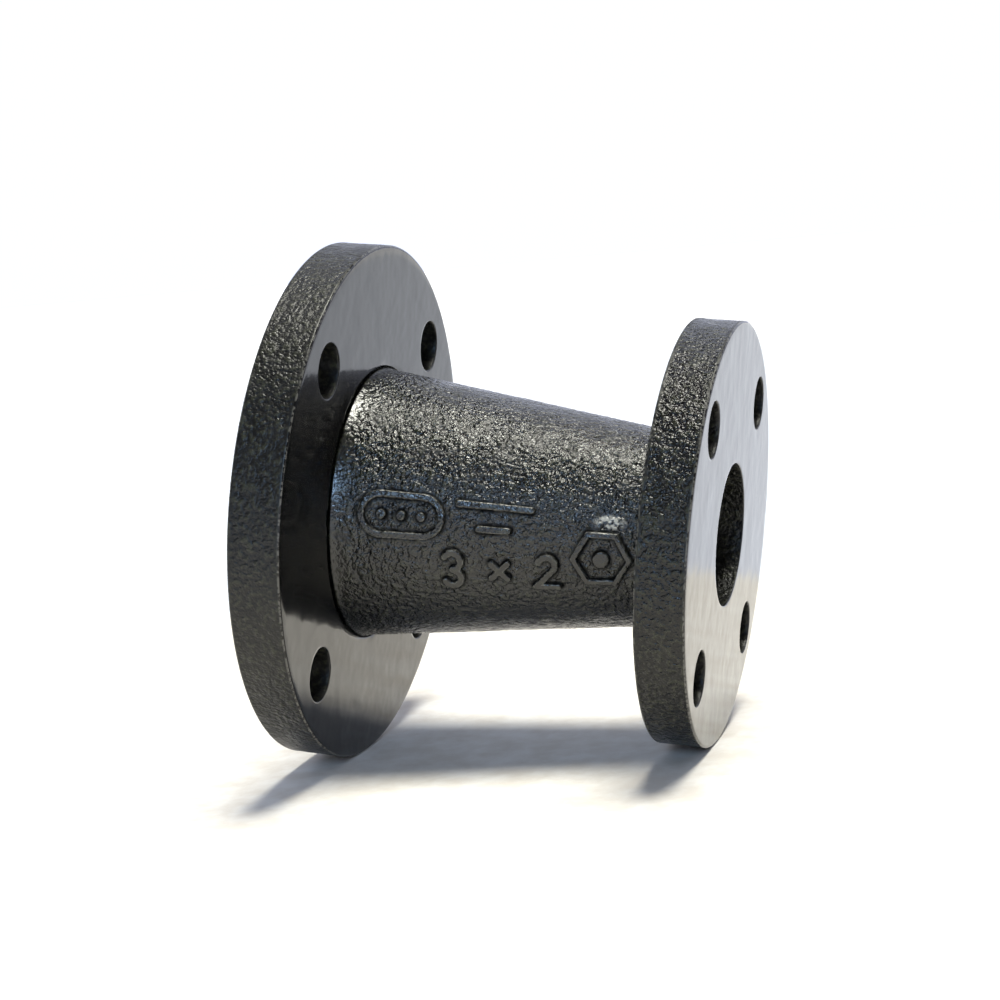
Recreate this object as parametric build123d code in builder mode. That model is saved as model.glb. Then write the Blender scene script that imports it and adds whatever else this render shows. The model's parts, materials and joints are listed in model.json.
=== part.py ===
"""Cast-iron flanged reducer, 3 in to 2 in, Class 125, with raised cast marks.

Millimetres. The flow axis lies along +X, with the origin at the centre of the
large flange's sealing face and +Z up. The real fitting is one casting. It is
made here as the sections a pattern maker would name, each its own solid,
meeting face to face.
"""

import os
from math import cos, sin, sqrt

from build123d import *

# Ends of the casting
face_to_face = 152.4
large_bore = 76.2
small_bore = 50.8

# Flanges
large_flange_diameter = 190.5
large_flange_thickness = 19.05
large_rim_margin = 19.05  # from the bolt circle out to the rim
large_bolt_hole = 19.05
small_flange_diameter = 152.4
small_flange_thickness = 17.5
small_rim_margin = 15.875
small_bolt_hole = 19.05
bolt_count = 4
first_bolt_angle = 45
rim_round = 1.2

# Barrel wall, thicker at the large end as cast
large_wall = 11.7
small_wall = 8.8

# Flare of the barrel at the large flange. It ends in a low step, where the flange's
# back was faced flat.
flare_step = 0.5
flare_growth = 0.3
flare_length = 1.6
flare_round = 12.0

# Fillet of the barrel at the small flange
small_root = 1.6
small_root_round = 2.0

# Raised cast marks. Each is placed by its distance along the axis from the large
# flange's back and by its distance around the barrel, upwards from the middle of
# the -Y side. These places and sizes are for a barrel of mark_pattern_length, and
# keep their proportion to it on a longer or shorter one.
relief = 1.4
mark_pattern_length = 115.85
stroke = 2.6
frame_along, frame_around = 25.5, 4.5
frame_length, frame_height = 31.0, 16.5
frame_dots, frame_dot_gap, frame_dot_diameter = 3, 7.0, 3.6
bars_along, bars_around = 58.0, 5.5
long_bar, short_bar, bar_gap = 28.0, 13.0, 8.0
size_along, size_around = 59.5, -13.0
size_height, size_width, size_pitch = 14.5, 10.5, 16.5
hexagon_along, hexagon_around = 95.5, -6.1
hexagon_radius, hexagon_dot_diameter = 11.0, 6.0

# Worked out from the values above
barrel_start = large_flange_thickness
barrel_end = face_to_face - small_flange_thickness
barrel_length = barrel_end - barrel_start
large_radius = large_bore / 2 + large_wall
small_radius = small_bore / 2 + small_wall
taper = (large_radius - small_radius) / barrel_length
mark_scale = barrel_length / mark_pattern_length


def barrel_radius(x):
    """Outside radius of the tapered barrel at x."""
    return large_radius - taper * (x - barrel_start)


def flange_ring(face_x, diameter, thickness, bore):
    """A flat ring from face_x towards +X, with rounded rims."""
    with BuildPart() as ring:
        with BuildSketch(Plane.YZ.offset(face_x)):
            Circle(diameter / 2)
            Circle(bore / 2, mode=Mode.SUBTRACT)
        extrude(amount=thickness)
        rims = ring.edges().filter_by(GeomType.CIRCLE).sort_by(SortBy.RADIUS)[-2:]
        fillet(rims, radius=rim_round)
    return ring.part


def bolt_holes(face_x, bolt_circle, hole, depth):
    """The bolt holes to cut, from face_x towards +X, straddling Y and Z."""
    with BuildPart() as holes:
        with BuildSketch(Plane.YZ.offset(face_x)):
            with PolarLocations(bolt_circle / 2, bolt_count, start_angle=first_bolt_angle):
                Circle(hole / 2)
        extrude(amount=depth)
    return holes.part


# Tapered wall between the flanges
with BuildPart() as reducing_barrel:
    with BuildSketch(Plane.XZ) as wall:
        flare_top = barrel_start + flare_step
        flare_radius = barrel_radius(flare_top) + flare_growth
        flare_foot = flare_top + flare_length
        fillet_start = barrel_end - small_root
        with BuildLine():
            Polyline(
                (barrel_start, large_bore / 2),
                (barrel_start, flare_radius),
                (flare_top, flare_radius),
                (flare_foot, barrel_radius(flare_foot)),
                (fillet_start, barrel_radius(fillet_start)),
                (barrel_end, small_radius + small_root),
                (barrel_end, small_bore / 2),
                close=True,
            )
        make_face()
        foot = wall.vertices().sort_by_distance((flare_foot, barrel_radius(flare_foot)))[0]
        fillet(foot, radius=flare_round)
        root = wall.vertices().sort_by_distance((fillet_start, barrel_radius(fillet_start)))[0]
        fillet(root, radius=small_root_round)
    revolve(axis=Axis.X)

# Large flange
with BuildPart() as large_flange:
    add(flange_ring(0, large_flange_diameter, large_flange_thickness, large_bore))
    large_bolt_circle = large_flange_diameter - 2 * large_rim_margin
    holes = bolt_holes(0, large_bolt_circle, large_bolt_hole, large_flange_thickness)
    add(holes, mode=Mode.SUBTRACT)

# Small flange
with BuildPart() as small_flange:
    add(flange_ring(barrel_end, small_flange_diameter, small_flange_thickness, small_bore))
    small_bolt_circle = small_flange_diameter - 2 * small_rim_margin
    holes = bolt_holes(barrel_end, small_bolt_circle, small_bolt_hole, small_flange_thickness)
    add(holes, mode=Mode.SUBTRACT)

# Layer on the barrel that the raised marks are cut from
with BuildPart() as relief_layer:
    with BuildSketch(Plane.XZ):
        with BuildLine():
            Polyline(
                (barrel_start, large_radius),
                (barrel_end, small_radius),
                (barrel_end, small_radius + relief),
                (barrel_start, large_radius + relief),
                close=True,
            )
        make_face()
    revolve(axis=Axis.X)


def tangent_plane(along, around):
    """Plane on the barrel's skin: x runs towards the small end, y up the barrel, z outwards."""
    x = barrel_start + along * mark_scale
    radius = barrel_radius(x)
    angle = around * mark_scale / radius
    lean = 1 / sqrt(1 + taper**2)
    up, out = sin(angle), -cos(angle)
    return Plane(
        origin=(x, radius * out, radius * up),
        x_dir=(lean, -taper * lean * out, -taper * lean * up),
        z_dir=(taper * lean, lean * out, lean * up),
    )


def raised_mark(along, around, draw):
    """The outline that draw() sketches, standing out of the barrel by the relief."""
    with BuildPart() as mark:
        with BuildSketch(tangent_plane(along, around)):
            draw()
            scale(by=mark_scale)
        # Half the small radius each way is deep enough for the curve of the barrel,
        # and stops well short of its far side.
        extrude(amount=small_radius / 2, both=True)
        add(relief_layer.part, mode=Mode.INTERSECT)
    return mark


def draw_frame():
    """Stadium-shaped frame round a row of dots."""
    SlotOverall(frame_length, frame_height)
    SlotOverall(frame_length - 2 * stroke, frame_height - 2 * stroke, mode=Mode.SUBTRACT)
    with GridLocations(frame_dot_gap, 0, frame_dots, 1):
        Circle(frame_dot_diameter / 2)


def draw_bars():
    """A long bar over a short one."""
    with Locations((0, bar_gap / 2)):
        SlotOverall(long_bar, stroke)
    with Locations((0, -bar_gap / 2)):
        SlotOverall(short_bar, stroke)


def draw_three(centre):
    """The numeral 3, as two arcs of one stroke."""
    lobe = (size_height - stroke) / 4
    for height, start in ((lobe, 150), (-lobe, -150)):
        with BuildLine(mode=Mode.PRIVATE) as arc:
            CenterArc((centre, height), lobe, start, -240 if height > 0 else 240)
        SlotArc(arc.wire(), stroke)


def draw_times(centre):
    """A multiplication sign."""
    for lean in (45, -45):
        with Locations(Location((centre, 0), lean)):
            SlotOverall(size_width, stroke)


def draw_two(centre):
    """The numeral 2, as an arc, a slant and a foot."""
    bowl = (size_height - stroke) / 4
    half = (size_width - stroke) / 2
    foot = -2 * bowl
    with BuildLine(mode=Mode.PRIVATE) as arc:
        CenterArc((centre, bowl), bowl, 165, -205)
    SlotArc(arc.wire(), stroke)
    end = arc.wire() @ 1
    with BuildLine(mode=Mode.PRIVATE) as slant:
        Line((end.X, end.Y), (centre - half, foot))
    SlotArc(slant.wire(), stroke)
    with BuildLine(mode=Mode.PRIVATE) as base:
        Line((centre - half, foot), (centre + half, foot))
    SlotArc(base.wire(), stroke)


def draw_size():
    """Nominal sizes of the two ends, 3 by 2."""
    draw_three(-size_pitch)
    draw_times(0)
    draw_two(size_pitch)


def draw_hexagon():
    """Hexagonal ring round a dot."""
    RegularPolygon(hexagon_radius, 6)
    RegularPolygon(hexagon_radius - stroke, 6, mode=Mode.SUBTRACT)
    Circle(hexagon_dot_diameter / 2)


frame_mark = raised_mark(frame_along, frame_around, draw_frame)
bar_mark = raised_mark(bars_along, bars_around, draw_bars)
size_numerals = raised_mark(size_along, size_around, draw_size)
hexagon_mark = raised_mark(hexagon_along, hexagon_around, draw_hexagon)

pieces = {
    "large_flange": large_flange,
    "reducing_barrel": reducing_barrel,
    "small_flange": small_flange,
    "frame_mark": frame_mark,
    "bar_mark": bar_mark,
    "size_numerals": size_numerals,
    "hexagon_mark": hexagon_mark,
}

os.makedirs("parts", exist_ok=True)
for name, piece in pieces.items():
    piece.part.label = name
    export_step(piece.part, f"parts/{name}.step")
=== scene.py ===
"""Looks of the flanged reducer: sand-cast black iron, with smooth flange faces."""

import json
from math import atan2, cos, pi, radians, sin, sqrt

import bmesh
import bpy
import numpy as np
from mathutils import Matrix, Vector, noise


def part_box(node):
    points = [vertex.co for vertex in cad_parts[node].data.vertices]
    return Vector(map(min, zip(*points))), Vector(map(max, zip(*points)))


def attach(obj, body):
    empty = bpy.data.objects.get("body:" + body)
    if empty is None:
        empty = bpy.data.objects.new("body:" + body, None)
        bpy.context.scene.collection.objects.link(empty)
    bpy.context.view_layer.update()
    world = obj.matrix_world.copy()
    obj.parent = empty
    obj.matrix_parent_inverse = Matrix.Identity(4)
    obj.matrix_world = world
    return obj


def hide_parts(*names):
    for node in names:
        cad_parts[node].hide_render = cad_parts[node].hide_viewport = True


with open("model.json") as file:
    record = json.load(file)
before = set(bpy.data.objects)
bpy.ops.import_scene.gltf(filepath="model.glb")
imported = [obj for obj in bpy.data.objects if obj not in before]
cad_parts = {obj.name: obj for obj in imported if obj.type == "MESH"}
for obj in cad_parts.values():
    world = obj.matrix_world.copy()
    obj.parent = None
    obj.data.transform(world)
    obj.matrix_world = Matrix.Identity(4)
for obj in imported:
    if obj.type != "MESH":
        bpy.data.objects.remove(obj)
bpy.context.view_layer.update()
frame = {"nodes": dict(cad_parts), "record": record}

MM = 0.001

# ---------------------------------------------------------------- sizes from the frame
# Points of the CAD barrel further out than this from its bore are on its outside
SKIN_CLEARANCE = 2 * MM

mounts = {mount["name"]: mount for mount in frame["record"]["mounts"]}


def mount_size(name, key):
    """A mount's dimension, in metres."""
    return mounts[name]["dims"][key] * MM


def node_points(node):
    """The vertices of a CAD node."""
    return np.array([v.co for v in frame["nodes"][node].data.vertices], float)


def rows_of(points, mask):
    """(x, radius) rows of the masked points, one for each x."""
    x, radius = points[mask, 0], points[mask, 1]
    stations, first = np.unique(np.round(x, 6), return_index=True)
    return stations, radius[first]


barrel_low, barrel_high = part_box("reducing_barrel")
large_low, large_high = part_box("large_flange")
small_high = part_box("small_flange")[1]
barrel_start, barrel_end = barrel_low.x, barrel_high.x
large_bore = mount_size("large_bore", "r_mm")
small_bore = mount_size("small_bore", "r_mm")

barrel_points = node_points("reducing_barrel")
barrel_radius = np.hypot(barrel_points[:, 1], barrel_points[:, 2])
barrel_points = np.column_stack([barrel_points[:, 0], barrel_radius])
taper_radius = np.interp(barrel_points[:, 0], [barrel_start, barrel_end], [large_bore, small_bore])
on_skin = barrel_points[:, 1] > taper_radius + SKIN_CLEARANCE
skin_x, skin_radius = rows_of(barrel_points, on_skin)


def outer_radius(x):
    """Outside radius of the CAD barrel at x."""
    return np.interp(x, skin_x, skin_radius)


# ---------------------------------------------------------------- cast texture
GRAIN_SIZE = 1.7 * MM
GRAIN_DEPTH = 0.15 * MM
LUMP_SIZE = 9 * MM
LUMP_DEPTH = 0.15 * MM
RIM_GRAIN_SIZE = GRAIN_SIZE * 1.3
NOISE_PEAK = 1.1  # a little above the highest value that ripple() should return


def ripple(points, size, seed):
    """Smooth noise from about -1 to 1 at each point, with features of that size in metres."""
    shift = Vector((seed * 3.1, seed * 1.7, seed * 2.3))
    return np.array([noise.noise(Vector(p) / size + shift) for p in points])


def cast_height(points):
    """How far the sand-cast skin stands above its mean surface at each point."""
    grains = ripple(points, GRAIN_SIZE, 1) + 0.5 * ripple(points, GRAIN_SIZE / 2, 2)
    return GRAIN_DEPTH * grains + LUMP_DEPTH * ripple(points, LUMP_SIZE, 3)


# ---------------------------------------------------------------- meshes
class Shell:
    """A mesh put together from grids of points, welded where the grids meet.

    Its looks are how cast (rough-skinned), bare (machined), pale (worn, and a painted highlight)
    and crevice-dark (painted shade in a crevice) each point is, from 0 to 1.
    """

    WELD = 2e-6
    LOOKS = ("cast", "bare", "worn", "pit")

    def __init__(self):
        self.points, self.quads = [], []
        self.looks = {look: [] for look in self.LOOKS}
        self.count = 0

    def add(self, grid, around=False, **looks):
        """Adds a rows x columns x 3 grid of points, joined into a ring of columns if around.

        Each of the looks is one value, or values that broadcast to rows x columns.
        """
        grid = np.asarray(grid, float)
        rows, columns = grid.shape[:2]
        index = self.count + np.arange(rows * columns).reshape(rows, columns)
        if around:
            index = np.hstack([index, index[:, :1]])
        corners = (index[:-1, :-1], index[:-1, 1:], index[1:, 1:], index[1:, :-1])
        self.quads.append(np.stack(corners, -1).reshape(-1, 4))
        self.points.append(grid.reshape(-1, 3))
        for look, values in self.looks.items():
            value = np.asarray(looks.get(look, 0.0), float)
            values.append(np.broadcast_to(value, (rows, columns)).reshape(-1))
        self.count += rows * columns

    def build(self, name):
        """The welded object, shaded smooth, with its looks as point attributes."""
        mesh = bpy.data.meshes.new(name)
        mesh.from_pydata(np.concatenate(self.points), [], np.concatenate(self.quads).tolist())
        for look, values in self.looks.items():
            attribute = mesh.attributes.new(look, "FLOAT", "POINT")
            attribute.data.foreach_set("value", np.concatenate(values).astype(np.float32))
        welded = bmesh.new()
        welded.from_mesh(mesh)
        bmesh.ops.remove_doubles(welded, verts=welded.verts, dist=self.WELD)
        bmesh.ops.recalc_face_normals(welded, faces=welded.faces)
        welded.to_mesh(mesh)
        welded.free()
        mesh.polygons.foreach_set("use_smooth", np.ones(len(mesh.polygons), bool))
        piece = bpy.data.objects.new(name, mesh)
        bpy.context.scene.collection.objects.link(piece)
        return piece


def read_mesh(mesh):
    """Points, normals and cast attribute of a mesh, as arrays."""
    points = np.empty(len(mesh.vertices) * 3)
    mesh.vertices.foreach_get("co", points)
    normals = np.empty(len(mesh.vertices) * 3)
    mesh.vertex_normals.foreach_get("vector", normals)
    cast = np.empty(len(mesh.vertices))
    mesh.attributes["cast"].data.foreach_get("value", cast)
    return points.reshape(-1, 3), normals.reshape(-1, 3), cast


def roughen(piece, height):
    """Moves each point along its normal by height(points) times its cast attribute."""
    points, normals, cast = read_mesh(piece.data)
    rough = cast > 0
    moved = points.copy()
    moved[rough] += normals[rough] * (height(points[rough]) * cast[rough])[:, None]
    piece.data.vertices.foreach_set("co", moved.ravel())
    piece.data.update()


def lathe(profile, columns):
    """Grid of points from turning (x, radius) rows about the X axis."""
    profile = np.asarray(profile, float)
    angles = np.arange(columns) * 2 * pi / columns
    x = np.repeat(profile[:, :1], columns, 1)
    y = profile[:, 1:] * np.cos(angles)
    z = profile[:, 1:] * np.sin(angles)
    return np.stack([x, y, z], -1)


def spread(points, spacing):
    """Points along a polyline, evenly spaced at about that distance, with its ends kept."""
    points = np.asarray(points, float)
    run = np.concatenate([[0], np.cumsum(np.linalg.norm(np.diff(points, axis=0), axis=1))])
    steps = np.linspace(0, run[-1], max(2, int(round(run[-1] / spacing)) + 1))
    return np.column_stack([np.interp(steps, run, points[:, i]) for i in range(2)])


def hold_ends(rows, inset):
    """Adds a row that far inside each end, which keeps the shading of the corner there narrow."""
    near, far = rows[1] - rows[0], rows[-2] - rows[-1]
    first = rows[0] + near * inset / np.linalg.norm(near)
    last = rows[-1] + far * inset / np.linalg.norm(far)
    return np.vstack([rows[:1], first, rows[1:-1], last, rows[-1:]])


# ---------------------------------------------------------------- flanges
# Depth runs from the sealing face to the back face.
EDGE_ROUND = 0.5 * MM
RIM_ROUND = 1.2 * MM
BORE_FADE = 1 * MM  # the cast skin of the bores fades out over this length at their ends
CORNER_INSET = 0.1 * MM
QUARTERS = 4
GROOVE = 0.9 * MM

# How cast the rims and the inner walls are
LARGE_RIM_CAST, SMALL_RIM_CAST = 0.55, 0.9
HOLE_CAST, BORE_CAST, CORE_CAST = 0.25, 0.55, 0.5

# The rim's crest, painted pale as wear and as a painted highlight of the edge: its place as a
# share of RIM_ROUND from each face, and how pale it is
CREST, CREST_SHARPNESS, CREST_WEAR_AND_HIGHLIGHT = 0.3, 4, 0.3


def corner_round(size, steps, start_radius, inward):
    """(radius, depth) rows round an edge, from the face to the wall.

    inward is -1 at a bore or hole, and 1 at a rim.
    """
    turn = np.linspace(0, pi / 2, steps + 1)
    radius = start_radius + inward * size * np.sin(turn)
    return np.column_stack([radius, size * (1 - np.cos(turn))])


def edge_rows(face_radius, size, thickness, inward, steps, spacing):
    """(radius, depth) rows from one face, round its edge and along the wall to the other face."""
    near = corner_round(size, steps, face_radius, inward)
    wall_rows = max(2, int(round((thickness - 2 * size) / spacing)))
    wall = np.linspace(size, thickness - size, wall_rows + 1)[1:-1]
    wall = np.column_stack([np.full(len(wall), near[-1, 0]), wall])
    far = near[::-1] * (1, -1) + (0, thickness)
    return np.vstack([near, wall, far])


class Flange:
    """A flat-faced flange with four bolt holes, built quarter by quarter.

    rim, bore, foot, bolt_radius and hole are radii, and grain is how cast the rim is. The quarters
    end at the foot, and rings of points reach from there to the bore.
    """

    RIM_COLUMNS, FOOT_COLUMNS, SIDE_POINTS = 150, 80, 18  # in each quarter
    RINGS, RING_CROWDING = 11, 1.6  # rings round each hole, closer together near it
    EDGE_STEPS, RIM_STEPS = 3, 5
    HOLE_SPACING, RIM_SPACING = 1.3 * MM, 1.0 * MM
    FRONT_ROWS, BORE_ROWS = 9, 16

    def __init__(self, seal_x, back_x, rim, bore, foot, bolt_radius, hole, grain):
        self.seal_x, self.back_x = seal_x, back_x
        self.direction = 1 if back_x > seal_x else -1
        self.thickness = abs(back_x - seal_x)
        self.rim, self.bore, self.foot = rim, bore, foot
        self.bolt_radius, self.hole, self.grain = bolt_radius, hole, grain
        self.shell = Shell()

    def place(self, radius, angle, depth):
        """Points at these radii and angles about the axis, and depths from the sealing face."""
        radius, angle, depth = np.broadcast_arrays(radius, angle, depth)
        x = self.seal_x + self.direction * depth
        return np.stack([x, radius * np.cos(angle), radius * np.sin(angle)], -1)

    def quarter_edge(self):
        """(y, z) points round the edge of the face's first quarter, starting on the rim side."""
        face_rim = self.rim - RIM_ROUND
        rim_turn = np.linspace(0, pi / 2, self.RIM_COLUMNS + 1)
        foot_turn = np.linspace(pi / 2, 0, self.FOOT_COLUMNS + 1)
        inward = np.linspace(face_rim, self.foot, self.SIDE_POINTS + 1)[1:-1]
        return np.concatenate([
            np.column_stack([face_rim * np.cos(rim_turn), face_rim * np.sin(rim_turn)]),
            np.column_stack([0 * inward, inward]),
            np.column_stack([self.foot * np.cos(foot_turn), self.foot * np.sin(foot_turn)]),
            np.column_stack([inward[::-1], 0 * inward]),
        ])

    def add_holes(self):
        """The four quarters of both faces, and the bolt holes through them."""
        centre = self.bolt_radius * np.array([cos(pi / 4), sin(pi / 4)])
        edge = self.quarter_edge()
        ray = edge - centre
        ray /= np.linalg.norm(ray, axis=1)[:, None]
        mouth = centre + ray * (self.hole + EDGE_ROUND)
        share = np.linspace(0, 1, self.RINGS + 1)[:, None, None] ** self.RING_CROWDING
        face = mouth + (edge - mouth) * share
        wall = edge_rows(
            self.hole + EDGE_ROUND, EDGE_ROUND, self.thickness, -1,
            self.EDGE_STEPS, self.HOLE_SPACING,
        )
        hole = centre + ray * wall[:, :1, None]
        hole_looks = self.looks_between_faces(wall, HOLE_CAST)
        for quarter in range(QUARTERS):
            turn = quarter * pi / 2
            spin = np.array([[cos(turn), sin(turn)], [-sin(turn), cos(turn)]])
            self.shell.add(self.at_depth(face @ spin, 0), around=True, bare=1)
            self.shell.add(self.at_depth(face @ spin, self.thickness), around=True)
            self.shell.add(self.at_depth(hole @ spin, wall[:, 1:]), around=True, **hole_looks)

    def looks_between_faces(self, rows, cast):
        """Looks of (radius, depth) rows: cast, but like the faces where they meet them."""
        depth = rows[:, 1:]
        within = (depth > 0) & (depth < self.thickness)
        return {"cast": cast * within, "bare": (depth <= 0).astype(float)}

    def at_depth(self, grid, depth):
        """(y, z) grid as points at that depth, or at each row's own depth."""
        depth = np.broadcast_to(depth, grid.shape[:2])
        return np.dstack([self.seal_x + self.direction * depth, grid])

    def add_ring(self, rows, columns, **looks):
        """Turns (radius, depth) rows about the axis, with that many columns in each quarter."""
        rows = np.asarray(rows, float)
        angles = np.arange(columns * QUARTERS) * (pi / 2 / columns)
        self.shell.add(self.place(rows[:, :1], angles, rows[:, 1:]), around=True, **looks)

    def build(self, name, back_rows):
        """back_rows are (radius, depth) from the back face's foot inwards to the bore."""
        self.add_holes()
        rim_rows = edge_rows(
            self.rim - RIM_ROUND, RIM_ROUND, self.thickness, 1, self.RIM_STEPS, self.RIM_SPACING
        )
        to_face = np.minimum(rim_rows[:, 1:], self.thickness - rim_rows[:, 1:]) / RIM_ROUND
        rough = self.grain * np.clip(to_face - CREST, 0, 1)
        # Painted highlight along the rim's crest, which also stands for wear there
        worn = CREST_WEAR_AND_HIGHLIGHT * np.clip(1 - np.abs(to_face - CREST) * CREST_SHARPNESS, 0, 1)
        looks = self.looks_between_faces(rim_rows, rough)
        self.add_ring(rim_rows, self.RIM_COLUMNS, worn=worn, **looks)
        near = corner_round(EDGE_ROUND, self.EDGE_STEPS, self.bore + EDGE_ROUND, -1)
        front = np.linspace(self.foot, self.bore + EDGE_ROUND, self.FRONT_ROWS)
        front = np.column_stack([front, 0 * front])
        self.add_ring(np.vstack([front, near[1:2]]), self.FOOT_COLUMNS, bare=1)
        bore = np.linspace(EDGE_ROUND, back_rows[-1][1], self.BORE_ROWS)
        bore = np.column_stack([np.full(len(bore), self.bore), bore])
        # The edge's own rows take the place of the first two.
        bore = hold_ends(bore, CORNER_INSET)[2:]
        inside = np.vstack([near[1:], bore])
        from_face = inside[:, 1:] - near[1, 1]
        to_barrel = inside[-1, 1] - inside[:, 1:]
        fade = np.clip(np.minimum(from_face / EDGE_ROUND, to_barrel / BORE_FADE), 0, 1)
        looks = {"cast": BORE_CAST * fade, "bare": (from_face <= 0).astype(float)}
        self.add_ring(inside, self.FOOT_COLUMNS, **looks)
        self.add_ring(back_rows, self.FOOT_COLUMNS)
        return self.shell.build(name)


def rim_height(points):
    """The rim's cast skin, which only goes inwards, so that the flange keeps its outside size."""
    deepest = GRAIN_DEPTH * NOISE_PEAK + LUMP_DEPTH
    grains = GRAIN_DEPTH * ripple(points, RIM_GRAIN_SIZE, 5)
    return grains + LUMP_DEPTH * ripple(points, LUMP_SIZE, 6) - deepest


def make_large_flange():
    """Large flange, whose faced back ends in a groove at the foot of the barrel's flare."""
    thickness = mount_size("large_bore", "length_mm")
    flare = float(skin_radius[0])
    back = np.array([
        (flare + GROOVE, thickness),
        (flare + 0.8 * GROOVE, thickness - 0.15 * MM),
        (flare + 0.6 * GROOVE, thickness - 0.7 * GROOVE),
        (flare, thickness - GROOVE),
        (flare - GROOVE, thickness - GROOVE),
        (flare - 1.5 * GROOVE, thickness),
        (large_bore, thickness),
    ])
    flange = Flange(
        0, barrel_start, large_high.z, large_bore, back[0, 0],
        mount_size("large_flange_bolts", "pcd_mm") / 2,
        mount_size("large_flange_bolts", "hole_r_mm"), LARGE_RIM_CAST,
    )
    return flange.build("large_flange_casting", back)


def make_small_flange():
    """Small flange, whose back face meets the barrel's root fillet."""
    thickness = mount_size("small_bore", "length_mm")
    foot = float(skin_radius[-1])
    back = np.column_stack([np.linspace(foot, small_bore, 5), np.full(5, thickness)])
    flange = Flange(
        small_high.x, barrel_end, small_high.z, small_bore, foot,
        mount_size("small_flange_bolts", "pcd_mm") / 2,
        mount_size("small_flange_bolts", "hole_r_mm"), SMALL_RIM_CAST,
    )
    return flange.build("small_flange_casting", back)


# ---------------------------------------------------------------- barrel
BARREL_COLUMNS = 440
SKIN_SPACING = 0.62 * MM
TAPER_SPACING = 5 * MM
# The skin is smoother at the large end's root, over this length and down to this share of
# its grain, and it fades out over this length at the small end
ROOT_LENGTH, ROOT_SHARE = 12 * MM, 0.12
SMALL_END_FADE = 2 * MM
# Painted shade in the crevices beside the marks, and how far it reaches in widths
CREVICE_SHADE_WIDTH, CREVICE_SHADE_REACH = 0.9 * MM, 1.3
# Painted glints, pale patches that stand for a highlight: x, distance up round the barrel, half
# length and half height
GLINT_PATCHES = [(117 * MM, 7 * MM, 5 * MM, 2.2 * MM)]
GLINT_REACH = 1.5


def make_barrel(marks):
    """Tapered wall: cast skin outside, with painted shade round the marks and a painted glint, and
    a smoother taper inside.
    """
    skin = np.column_stack([skin_x, skin_radius])
    skin = spread(skin, SKIN_SPACING)
    taper = spread([(barrel_end, small_bore), (barrel_start, large_bore)], TAPER_SPACING)
    taper = hold_ends(hold_ends(taper, BORE_FADE), CORNER_INSET)
    shell = Shell()
    fade = np.clip((barrel_end - skin[:, 0]) / SMALL_END_FADE, 0, 1)
    fade *= np.clip(ROOT_SHARE + (skin[:, 0] - barrel_start) / ROOT_LENGTH, 0, 1)
    glint = np.zeros((len(skin), BARREL_COLUMNS))
    pit = np.zeros((len(skin), BARREL_COLUMNS))
    up = pi - np.arange(BARREL_COLUMNS) * 2 * pi / BARREL_COLUMNS
    for mark in marks:
        widths = mark.distance(skin[:, :1], up) / CREVICE_SHADE_WIDTH
        pit = np.maximum(pit, np.clip(CREVICE_SHADE_REACH - widths, 0, 1))
    for x, around, length, height in GLINT_PATCHES:
        along = (skin[:, :1] - x) / length
        across = (up - around / outer_radius(x)) * skin[:, 1:] / height
        glint = np.maximum(glint, np.clip(GLINT_REACH - (along**2 + across**2), 0, 1))
    shell.add(lathe(skin, BARREL_COLUMNS), around=True, cast=fade[:, None], worn=glint, pit=pit)
    core = np.full((len(taper), 1), CORE_CAST)
    core[[0, 1, -2, -1]] = 0  # smooth at the ends and at the rows held close to them
    shell.add(lathe(taper, BARREL_COLUMNS), around=True, cast=core)
    for outside, inside in ((skin[-1], taper[0]), (skin[0], taper[-1])):
        shell.add(lathe([outside, inside], BARREL_COLUMNS), around=True)
    return shell.build("barrel_casting")


# ---------------------------------------------------------------- raised marks
STROKE = 2.6 * MM
RELIEF = 1.4 * MM
SUNK = 0.45 * MM
MARK_SPACING = 0.28 * MM
DRAFT = 0.7 * MM


def to_stroke(p, a, b):
    """Distance of each point p from the segment a to b."""
    a, b = np.array(a), np.array(b)
    along = np.clip(((p - a) @ (b - a)) / ((b - a) @ (b - a)), 0, 1)
    return np.linalg.norm(p - a - along[..., None] * (b - a), axis=-1)


def to_path(p, path):
    """Distance of each point p from a chain of segments."""
    return np.min([to_stroke(p, a, b) for a, b in zip(path[:-1], path[1:])], axis=0)


def arc(centre, radius, start, sweep, steps=14):
    """Points of an arc, whose start and sweep are in degrees."""
    turn = np.radians(start + sweep * np.linspace(0, 1, steps + 1))
    return np.column_stack([centre[0] + radius * np.cos(turn), centre[1] + radius * np.sin(turn)])


# The shapes below repeat the sizes of the CAD marks.
def frame_shape(p):
    """Stadium-shaped frame round three dots: distance outside the metal, negative inside."""
    length, height, gap, dot = 31.0 * MM, 16.5 * MM, 7.0 * MM, 3.6 * MM
    half = (length - height) / 2
    ring = np.abs(to_stroke(p, (-half, 0), (half, 0)) - (height - STROKE) / 2) - STROKE / 2
    dots = [np.linalg.norm(p - np.array([i * gap, 0]), axis=-1) - dot / 2 for i in (-1, 0, 1)]
    return np.min([ring, *dots], axis=0)


def bar_shape(p):
    """A long bar over a short one."""
    long_bar, short_bar, gap = 28.0 * MM, 13.0 * MM, 8.0 * MM
    distance = []
    for length, height in ((long_bar, gap / 2), (short_bar, -gap / 2)):
        half = (length - STROKE) / 2
        distance.append(to_stroke(p, (-half, height), (half, height)))
    return np.min(distance, axis=0) - STROKE / 2


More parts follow.
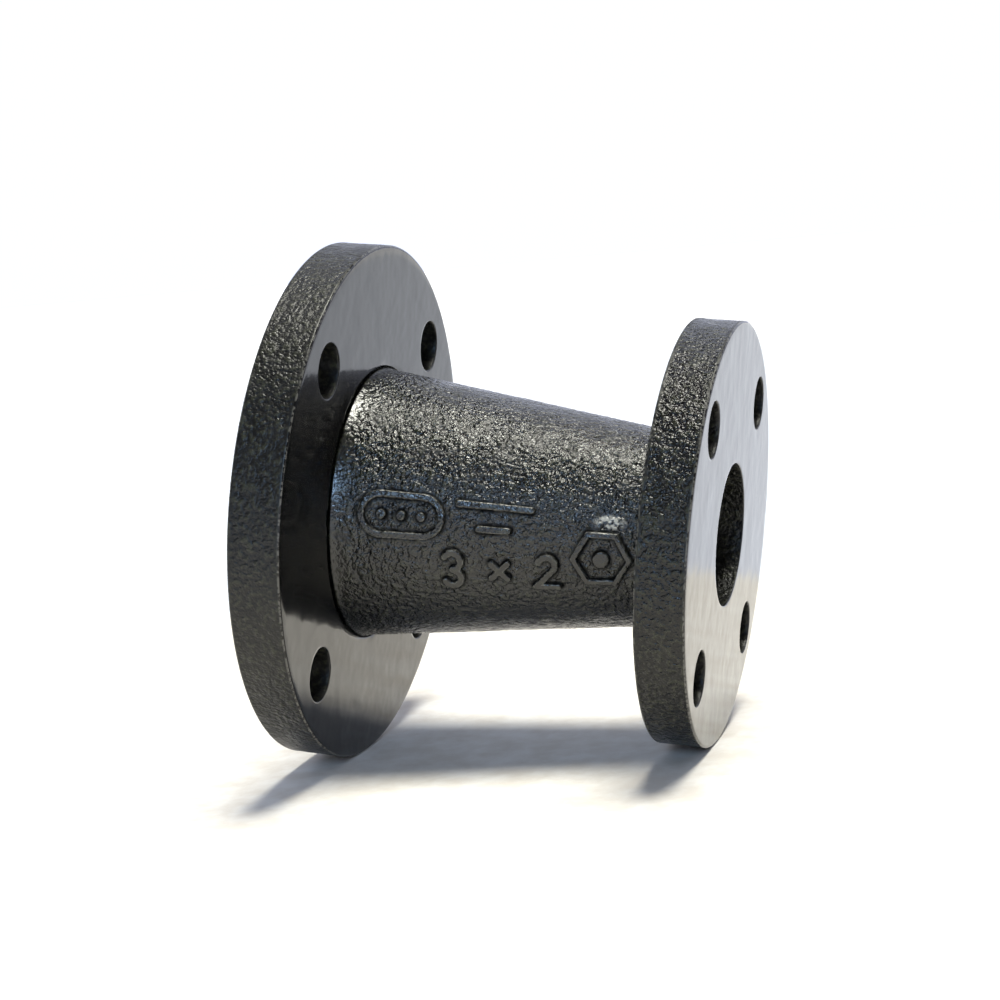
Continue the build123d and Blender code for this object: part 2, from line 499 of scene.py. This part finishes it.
def numeral_shape(p):
    """The numerals 3 and 2 with a multiplication sign between them."""
    height, width, pitch = 14.5 * MM, 10.5 * MM, 16.5 * MM
    lobe, half = (height - STROKE) / 4, (width - STROKE) / 2
    three = [arc((-pitch, lobe), lobe, 150, -240), arc((-pitch, -lobe), lobe, -150, 240)]
    slant = half * sqrt(0.5)
    times = [((-slant, -slant), (slant, slant)), ((-slant, slant), (slant, -slant))]
    bowl = arc((pitch, lobe), lobe, 165, -205)
    two = np.vstack([bowl, (pitch - half, -2 * lobe), (pitch + half, -2 * lobe)])
    strokes = [to_path(p, path) for path in (*three, two)]
    strokes += [to_stroke(p, a, b) for a, b in times]
    return np.min(strokes, axis=0) - STROKE / 2


def hexagon_shape(p):
    """Hexagonal ring round a dot."""
    radius, dot = 11.0 * MM, 6.0 * MM
    flats = [abs(p @ np.array([cos(a), sin(a)])) for a in (pi / 6, pi / 2, 5 * pi / 6)]
    width = STROKE * sqrt(3) / 2
    ring = np.abs(np.max(flats, axis=0) - radius * sqrt(3) / 2 + width / 2) - width / 2
    return np.minimum(ring, np.linalg.norm(p, axis=-1) - dot / 2)


class Mark:
    """Raised mark: a patch that rises out of the barrel's skin where the CAD node's solids are."""

    MARGIN = 1.4 * MM  # of skin round the metal
    FAR = 1.0
    UNDERSIDE = SUNK * 2.2
    # Distances are in drafts from here on: how far the smoothing and the painted crevice shade
    # reach out, and how far in the crest lies, which is painted pale as wear and as a painted
    # highlight
    SMOOTH_REACH, PIT_SLOPE, CREST_INSET, CREST_SHARPNESS = 1.2, 1.6, 0.45, 3
    # How high the grain is on plain skin, and how much of it and of its look smoothing takes
    GRAIN_HEIGHT, GRAIN_SMOOTHING, CAST_SMOOTHING = 0.9, 0.5, 0.65

    def __init__(self, node, shape):
        low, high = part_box(node)
        points = node_points(node)
        angles = np.arctan2(points[:, 2], -points[:, 1])
        self.node, self.shape = node, shape
        self.x, self.angle = (low.x + high.x) / 2, (angles.min() + angles.max()) / 2
        self.radius = float(outer_radius(self.x))
        self.half_length = (high.x - low.x) / 2 + self.MARGIN
        self.half_height = (angles.max() - angles.min()) / 2 * self.radius + self.MARGIN

    def distance(self, x, angle):
        """Distance of points of the skin from the mark's metal, negative within it.

        Points well outside the mark's box are just FAR.
        """
        flat = np.stack(np.broadcast_arrays(x - self.x, (angle - self.angle) * self.radius), -1)
        away = np.full(flat.shape[:-1], self.FAR)
        near = np.all(np.abs(flat) < (self.half_length + MM, self.half_height + MM), axis=-1)
        away[near] = self.shape(flat[near])
        return away

    def build(self):
        """The patch, closed by an underside within the barrel's wall."""
        along = np.arange(-self.half_length, self.half_length + MARK_SPACING, MARK_SPACING)
        around = np.arange(-self.half_height, self.half_height + MARK_SPACING, MARK_SPACING)
        x, angle = np.meshgrid(self.x + along, self.angle + around / self.radius, indexing="ij")
        edge = self.distance(x, angle) / DRAFT
        inside = np.clip(0.5 - edge, 0, 1)
        rise = (RELIEF + SUNK) * inside**2 * (3 - 2 * inside) - SUNK
        smooth = np.clip(self.SMOOTH_REACH - edge, 0, 1)
        skin = outer_radius(x)

        def on_barrel(lift):
            radius = skin + lift
            return np.stack([x, -radius * np.cos(angle), radius * np.sin(angle)], -1)

        height = cast_height(on_barrel(0).reshape(-1, 3)).reshape(x.shape)
        top = on_barrel(rise + height * (self.GRAIN_HEIGHT - self.GRAIN_SMOOTHING * smooth))
        under = on_barrel(np.full(x.shape, -self.UNDERSIDE))
        # The mark's crest is painted pale, as wear and as a painted highlight
        crest = np.clip(1 - np.abs(edge + self.CREST_INSET) * self.CREST_SHARPNESS, 0, 1)
        # Painted shade at the foot of the mark's metal
        pit = np.clip(1.0 + edge * self.PIT_SLOPE, 0, 1)
        shell = Shell()
        shell.add(top, cast=1 - self.CAST_SMOOTHING * smooth, worn=CREST_WEAR_AND_HIGHLIGHT * crest, pit=pit)
        shell.add(under)
        for side in (np.s_[0, :], np.s_[-1, :], np.s_[:, 0], np.s_[:, -1]):
            shell.add(np.stack([top[side], under[side]]))
        return shell.build(self.node + "_casting")


# ---------------------------------------------------------------- materials
# A Mix node's sockets for its two values and its result, by the kind that it mixes
MIX_SOCKETS = {"FLOAT": (2, 3, 0), "VECTOR": (4, 5, 1), "RGBA": (6, 7, 2)}


class Shader:
    """A material whose nodes are added one call at a time."""

    def __init__(self, name):
        self.material = bpy.data.materials.new(name)
        self.material.use_nodes = True
        self.nodes = self.material.node_tree.nodes
        self.links = self.material.node_tree.links
        self.surface = self.nodes["Principled BSDF"]
        self.place = self.node("ShaderNodeTexCoord").outputs["Object"]

    def node(self, kind, inputs=(), **settings):
        """A new node. inputs maps its sockets to a number, a colour or another node's output."""
        new = self.nodes.new(kind)
        for key, value in settings.items():
            setattr(new, key, value)
        self.feed(new, dict(inputs))
        return new

    def feed(self, node, inputs):
        """Links or sets sockets of a node."""
        for key, value in inputs.items():
            if isinstance(value, bpy.types.NodeSocket):
                self.links.new(value, node.inputs[key])
            else:
                node.inputs[key].default_value = value

    def noise(self, size, detail=2.0, roughness=0.5):
        """Fractal noise from 0 to 1, with features of that size in metres."""
        inputs = {
            "Vector": self.place, "Scale": 1 / size, "Detail": detail, "Roughness": roughness,
        }
        return self.node("ShaderNodeTexNoise", inputs).outputs["Fac"]

    def attribute(self, name):
        """One of the piece's looks."""
        return self.node("ShaderNodeAttribute", attribute_name=name).outputs["Fac"]

    def remap(self, value, low, high, to_low=0.0, to_high=1.0):
        """The range low to high taken to to_low to to_high, and held there beyond it."""
        inputs = {"Value": value, 1: low, 2: high, 3: to_low, 4: to_high}
        return self.node("ShaderNodeMapRange", inputs).outputs["Result"]

    def math(self, operation, a, b):
        """Result of an operation on two numbers."""
        return self.node("ShaderNodeMath", {0: a, 1: b}, operation=operation).outputs["Value"]

    def mix(self, share, a, b, kind="RGBA"):
        """Colour a where share is 0, b where it is 1, or a number or vector if that is the kind."""
        first, second, result = MIX_SOCKETS[kind]
        inputs = {"Factor": share, first: a, second: b}
        return self.node("ShaderNodeMix", inputs, data_type=kind).outputs[result]

    def bump(self, height, depth, strength=1.0, under=None):
        """Normal from a height of 0 to 1 that stands for that depth in metres."""
        inputs = {"Height": height, "Distance": depth, "Strength": strength}
        if under is not None:
            inputs["Normal"] = under
        return self.node("ShaderNodeBump", inputs).outputs["Normal"]


def grey(level, warmth=0.0):
    """A colour of that lightness, warmer above 0 and cooler below."""
    return (level * (1 + warmth), level, level * (1 - warmth), 1)


LACQUER_IOR = 1.52
# Painted shade: black for the crevices beside the marks
CREVICE_SHADE_BLACK = (0.001, 0.001, 0.001, 1)
CAST_DARK, CAST_PALE = (0.001, 0.001, 0.001, 1), (0.004, 0.004, 0.003, 1)
# Pebble tops, painted paler as sparkle highlights
CAST_CREST_SPARKLE = (0.020, 0.021, 0.012, 1)
# Pale of worn edges, which also serves as painted highlights and glints
WEAR_AND_HIGHLIGHT_PALE = (0.55, 0.53, 0.46, 1)
LACQUER_DARK, LACQUER_PALE = grey(0.002), grey(0.007, 0.05)
IRON_DARK, IRON_PALE = (0.066, 0.065, 0.064, 1), (0.084, 0.083, 0.081, 1)
NEAR_DARK, NEAR_PALE = (0.80, 0.75, 0.68, 1), (0.92, 0.89, 0.84, 1)
FURTHER_FLOOR, FAR_FLOOR = (0.73, 0.76, 0.85, 1), (0.97, 0.97, 1.0, 1)

# Sizes of the noise in the looks
PEBBLES, GRIT, PATCHES, SHEEN = 1.75 * MM, 0.7 * MM, 16 * MM, 7 * MM
BROKEN, CREVICE_SHADE_BREAKS, COAT_RIPPLE = 1.5 * MM, 5 * MM, 2.2 * MM
CLOUDS, FACE_WAVES, MOTTLE = 7 * MM, 14 * MM, 14 * MM
# What the bump maps stand for
PEBBLE_BUMP, GRIT_BUMP, COAT_BUMP, FACE_BUMP = 1.4 * MM, 0.35 * MM, 0.6 * MM, 0.3 * MM
# Distances from the origin between which the floor changes
NEAR_EDGE, FAR_EDGE = (0.335, 0.355), (2.0, 2.6)


def cast_layers(s):
    """Colour, roughness and normal of glossy black sand-cast skin, pebbled all over."""
    pebbles = s.noise(PEBBLES, 1.5, 0.5)
    grit = s.noise(GRIT, 1.0)
    patches = s.noise(PATCHES, 3.0, 0.6)
    # Pebble tops painted paler, as painted sparkle highlights
    crest = s.remap(pebbles, 0.5, 0.66)
    dark = s.mix(patches, CAST_DARK, CAST_PALE)
    colour = s.mix(crest, dark, CAST_CREST_SPARKLE)
    rough = s.remap(s.noise(SHEEN, 2.0), 0.32, 0.68, 0.13, 0.30)
    cast = s.attribute("cast")
    normal = s.bump(grit, GRIT_BUMP, cast, under=s.bump(pebbles, PEBBLE_BUMP, cast))
    return colour, rough, normal


def wear_and_highlight_colour(s, colour):
    """That colour, painted pale in broken patches where the piece is worn and where a highlight is
    painted.
    """
    broken = s.remap(s.noise(BROKEN, 2.0), 0.44, 0.56)
    return s.mix(s.math("MULTIPLY", s.attribute("worn"), broken), colour, WEAR_AND_HIGHLIGHT_PALE)


def cast_skin(name):
    """Barrel and marks: cast skin under a thin coat of lacquer, painted pale where it is worn and
    as highlights, and painted black as shade in the crevices beside the marks.
    """
    s = Shader(name)
    colour, rough, normal = cast_layers(s)
    # Painted shade in the crevices beside the marks: black, rough, no coat, and Metallic over a
    # black base so that they reflect nothing
    breaks = s.remap(s.noise(CREVICE_SHADE_BREAKS, 2.0), 0.38, 0.58, 0.3, 0.9)
    pit = s.math("MULTIPLY", s.attribute("pit"), breaks)
    colour = s.mix(pit, colour, CREVICE_SHADE_BLACK)
    rough = s.mix(pit, rough, 0.75, "FLOAT")
    s.feed(s.surface, {
        "Base Color": wear_and_highlight_colour(s, colour), "Roughness": rough, "Normal": normal,
        "Metallic": pit, "IOR": LACQUER_IOR, "Specular IOR Level": 0.52,
        "Coat Weight": s.mix(pit, 0.16, 0.0, "FLOAT"), "Coat Roughness": 0.22,
        "Coat Normal": s.bump(s.noise(COAT_RIPPLE, 1.5, 0.5), COAT_BUMP),
    })
    return s.material


def flange_skin(name):
    """Flange: cast rim, lacquered back face and bare machined sealing face, by its attributes."""
    s = Shader(name)
    bare = s.attribute("bare")
    on_rim = s.remap(s.attribute("cast"), 0.02, 0.2)
    rim_colour, rim_rough, rim_normal = cast_layers(s)
    rim_rough = s.math("ADD", rim_rough, s.remap(s.attribute("cast"), 0.5, 0.85, 0.2, 0.0))
    cloud = s.noise(CLOUDS, 4.0, 0.6)
    lacquer = s.mix(cloud, LACQUER_DARK, LACQUER_PALE)
    iron = s.mix(cloud, IRON_DARK, IRON_PALE)
    face_colour = s.mix(bare, lacquer, iron)
    face_rough = s.remap(cloud, 0.3, 0.7, 0.09, 0.16)
    face_normal = s.bump(s.noise(FACE_WAVES, 2.0), FACE_BUMP)
    s.feed(s.surface, {
        # The rim's crest is painted pale, as wear and as a painted highlight
        "Base Color": wear_and_highlight_colour(s, s.mix(on_rim, face_colour, rim_colour)),
        "Roughness": s.mix(on_rim, face_rough, rim_rough, "FLOAT"),
        "Normal": s.mix(on_rim, face_normal, rim_normal, "VECTOR"),
        "Metallic": s.math("MULTIPLY", bare, s.math("SUBTRACT", 1.0, on_rim)),
        "IOR": LACQUER_IOR, "Specular IOR Level": 0.36,
    })
    return s.material


def floor_material():
    """Pale matt floor: warm and mottled near the fitting, then cooler, and near white far off."""
    s = Shader("pale_floor")
    reach = s.node("ShaderNodeVectorMath", {0: s.place}, operation="LENGTH").outputs["Value"]
    mottle = s.remap(s.noise(MOTTLE, 4.0, 0.65), 0.36, 0.64)
    near = s.mix(mottle, NEAR_DARK, NEAR_PALE)
    colour = s.mix(s.remap(reach, *NEAR_EDGE), near, FURTHER_FLOOR)
    colour = s.mix(s.remap(reach, *FAR_EDGE), colour, FAR_FLOOR)
    s.feed(s.surface, {"Base Color": colour, "Roughness": 0.8, "Specular IOR Level": 0.2})
    return s.material


# ---------------------------------------------------------------- pieces
def finish_piece(piece, material, slot, *nodes):
    """Gives the piece its material and body, and hides the CAD nodes that it stands for; slot is
    not used.
    """
    piece.data.materials.append(material)
    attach(piece, "root")
    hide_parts(*nodes)


skin_material = cast_skin("cast_skin")
flange_material = flange_skin("flange_skin")

marks = [
    Mark("frame_mark", frame_shape), Mark("bar_mark", bar_shape),
    Mark("size_numerals", numeral_shape), Mark("hexagon_mark", hexagon_shape),
]
for mark in marks:
    finish_piece(mark.build(), skin_material, "cast_marks", mark.node)

barrel = make_barrel(marks)
roughen(barrel, cast_height)
finish_piece(barrel, skin_material, "barrel_skin", "reducing_barrel")

for make, node in ((make_large_flange, "large_flange"), (make_small_flange, "small_flange")):
    flange = make()
    roughen(flange, rim_height)
    finish_piece(flange, flange_material, "flange_iron", node)

# ---------------------------------------------------------------- floor, lights, camera
# The fitting lies on both rims, so the floor is tilted to touch them.
FLOOR_HALF, FLOOR_POINTS = 9.0, 9
rest_rise = large_high.z - small_high.z
rest_run = small_high.x - barrel_start
floor_tilt = atan2(rest_rise, rest_run)
contact = Vector((barrel_start - RIM_ROUND, 0, -large_high.z + RIM_ROUND))
floor_normal = Vector((-sin(floor_tilt), 0, cos(floor_tilt)))


def make_floor():
    """Wide flat floor under both rims."""
    steps = np.linspace(-FLOOR_HALF, FLOOR_HALF, FLOOR_POINTS)
    flat = np.dstack(np.meshgrid(steps, steps, [0.0], indexing="ij"))
    flat = flat.reshape(FLOOR_POINTS, FLOOR_POINTS, 3)
    shell = Shell()
    shell.add(flat)
    floor = shell.build("floor")
    place = Matrix.Translation(contact - floor_normal * RIM_ROUND)
    floor.data.transform(place @ Matrix.Rotation(-floor_tilt, 4, "Y"))
    floor.data.materials.append(floor_material())
    return floor


make_floor()

# Directions that the lights come from: a wide soft sun overhead, and a small cool light in front
KEY_FROM, COOL_FROM = Vector((0.03, 0.04, 0.98)), Vector((0.12, -0.92, 0.34))
COOL_DISTANCE = 1.4


def add_light(name, kind, came_from, distance, **settings):
    """A light in that direction, shining at the origin. A sun's distance makes no difference."""
    data = bpy.data.lights.new(name, kind)
    for key, value in settings.items():
        setattr(data, key, value)
    light = bpy.data.objects.new(name, data)
    light.location = came_from * distance
    light.rotation_euler = came_from.to_track_quat("Z", "Y").to_euler()
    bpy.context.scene.collection.objects.link(light)


add_light("key", "SUN", KEY_FROM, 0, energy=4.4, angle=radians(24), color=(1.0, 0.985, 0.89))
add_light("cool", "AREA", COOL_FROM, COOL_DISTANCE, size=0.26, energy=4.6, color=(0.44, 0.67, 1.0))

# Camera: its direction seen from the fitting, and how far it stands back and aside
VIEW_AZIMUTH, VIEW_ELEVATION, VIEW_ROLL = radians(16.37), radians(9.66), radians(2.44)
VIEW_DISTANCE = 0.7842
VIEW_RIGHT, VIEW_UP = -8.97 * MM, 5.67 * MM
SENSOR, LENS = 36.0, 77.28

# The studio has a bright wall behind the fitting, and a dimmer front and ceiling.
WALL_COLOUR = (1.0, 1.06, 1.27, 1)
ROOM_COLOUR = (0.17, 0.17, 0.18, 1)
# How far towards the wall, and towards straight down, its light begins and is full
WALL_EDGE, CEILING_EDGE = (-0.2, 0.25), (-0.74, -0.6)


def make_world():
    """World that is lit by direction alone, the same wherever it is seen from."""
    world = bpy.data.worlds.new("studio")
    world.use_nodes = True
    nodes, links = world.node_tree.nodes, world.node_tree.links
    place = nodes.new("ShaderNodeTexCoord").outputs["Generated"]

    def ramp(direction, low, high):
        """0 to 1 as the view's share of that direction goes from low to high."""
        dot = nodes.new("ShaderNodeVectorMath")
        dot.operation = "DOT_PRODUCT"
        dot.inputs[1].default_value = direction
        links.new(place, dot.inputs[0])
        step = nodes.new("ShaderNodeMapRange")
        step.interpolation_type = "SMOOTHSTEP"
        step.inputs["From Min"].default_value, step.inputs["From Max"].default_value = low, high
        links.new(dot.outputs["Value"], step.inputs["Value"])
        return step.outputs["Result"]

    both = nodes.new("ShaderNodeMath")
    both.operation = "MULTIPLY"
    wall_from = (-sin(VIEW_AZIMUTH), cos(VIEW_AZIMUTH), 0)
    links.new(ramp(wall_from, *WALL_EDGE), both.inputs[0])
    links.new(ramp((0, 0, -1), *CEILING_EDGE), both.inputs[1])
    colour = nodes.new("ShaderNodeMix")
    colour.data_type = "RGBA"
    links.new(both.outputs["Value"], colour.inputs["Factor"])
    first, second, result = MIX_SOCKETS["RGBA"]
    colour.inputs[first].default_value = ROOM_COLOUR
    colour.inputs[second].default_value = WALL_COLOUR
    links.new(colour.outputs[result], nodes["Background"].inputs["Color"])
    bpy.context.scene.world = world


def make_camera():
    """Camera at the photograph's angle."""
    back = Vector((
        sin(VIEW_AZIMUTH) * cos(VIEW_ELEVATION),
        -cos(VIEW_AZIMUTH) * cos(VIEW_ELEVATION),
        sin(VIEW_ELEVATION),
    ))
    level = Vector((0, 0, 1)).cross(back).normalized()
    upright = back.cross(level)
    right = cos(VIEW_ROLL) * level + sin(VIEW_ROLL) * upright
    up = cos(VIEW_ROLL) * upright - sin(VIEW_ROLL) * level
    centre = Vector(((large_low.x + small_high.x) / 2, 0, 0))
    data = bpy.data.cameras.new("camera")
    data.sensor_width, data.lens = SENSOR, LENS
    camera = bpy.data.objects.new("camera", data)
    turn = Matrix((right, up, back)).transposed().to_4x4()
    place = centre + VIEW_RIGHT * right + VIEW_UP * up + VIEW_DISTANCE * back
    camera.matrix_world = Matrix.Translation(place) @ turn
    bpy.context.scene.collection.objects.link(camera)
    bpy.context.scene.camera = camera


make_camera()
make_world()
bpy.context.scene.view_settings.view_transform = "Standard"
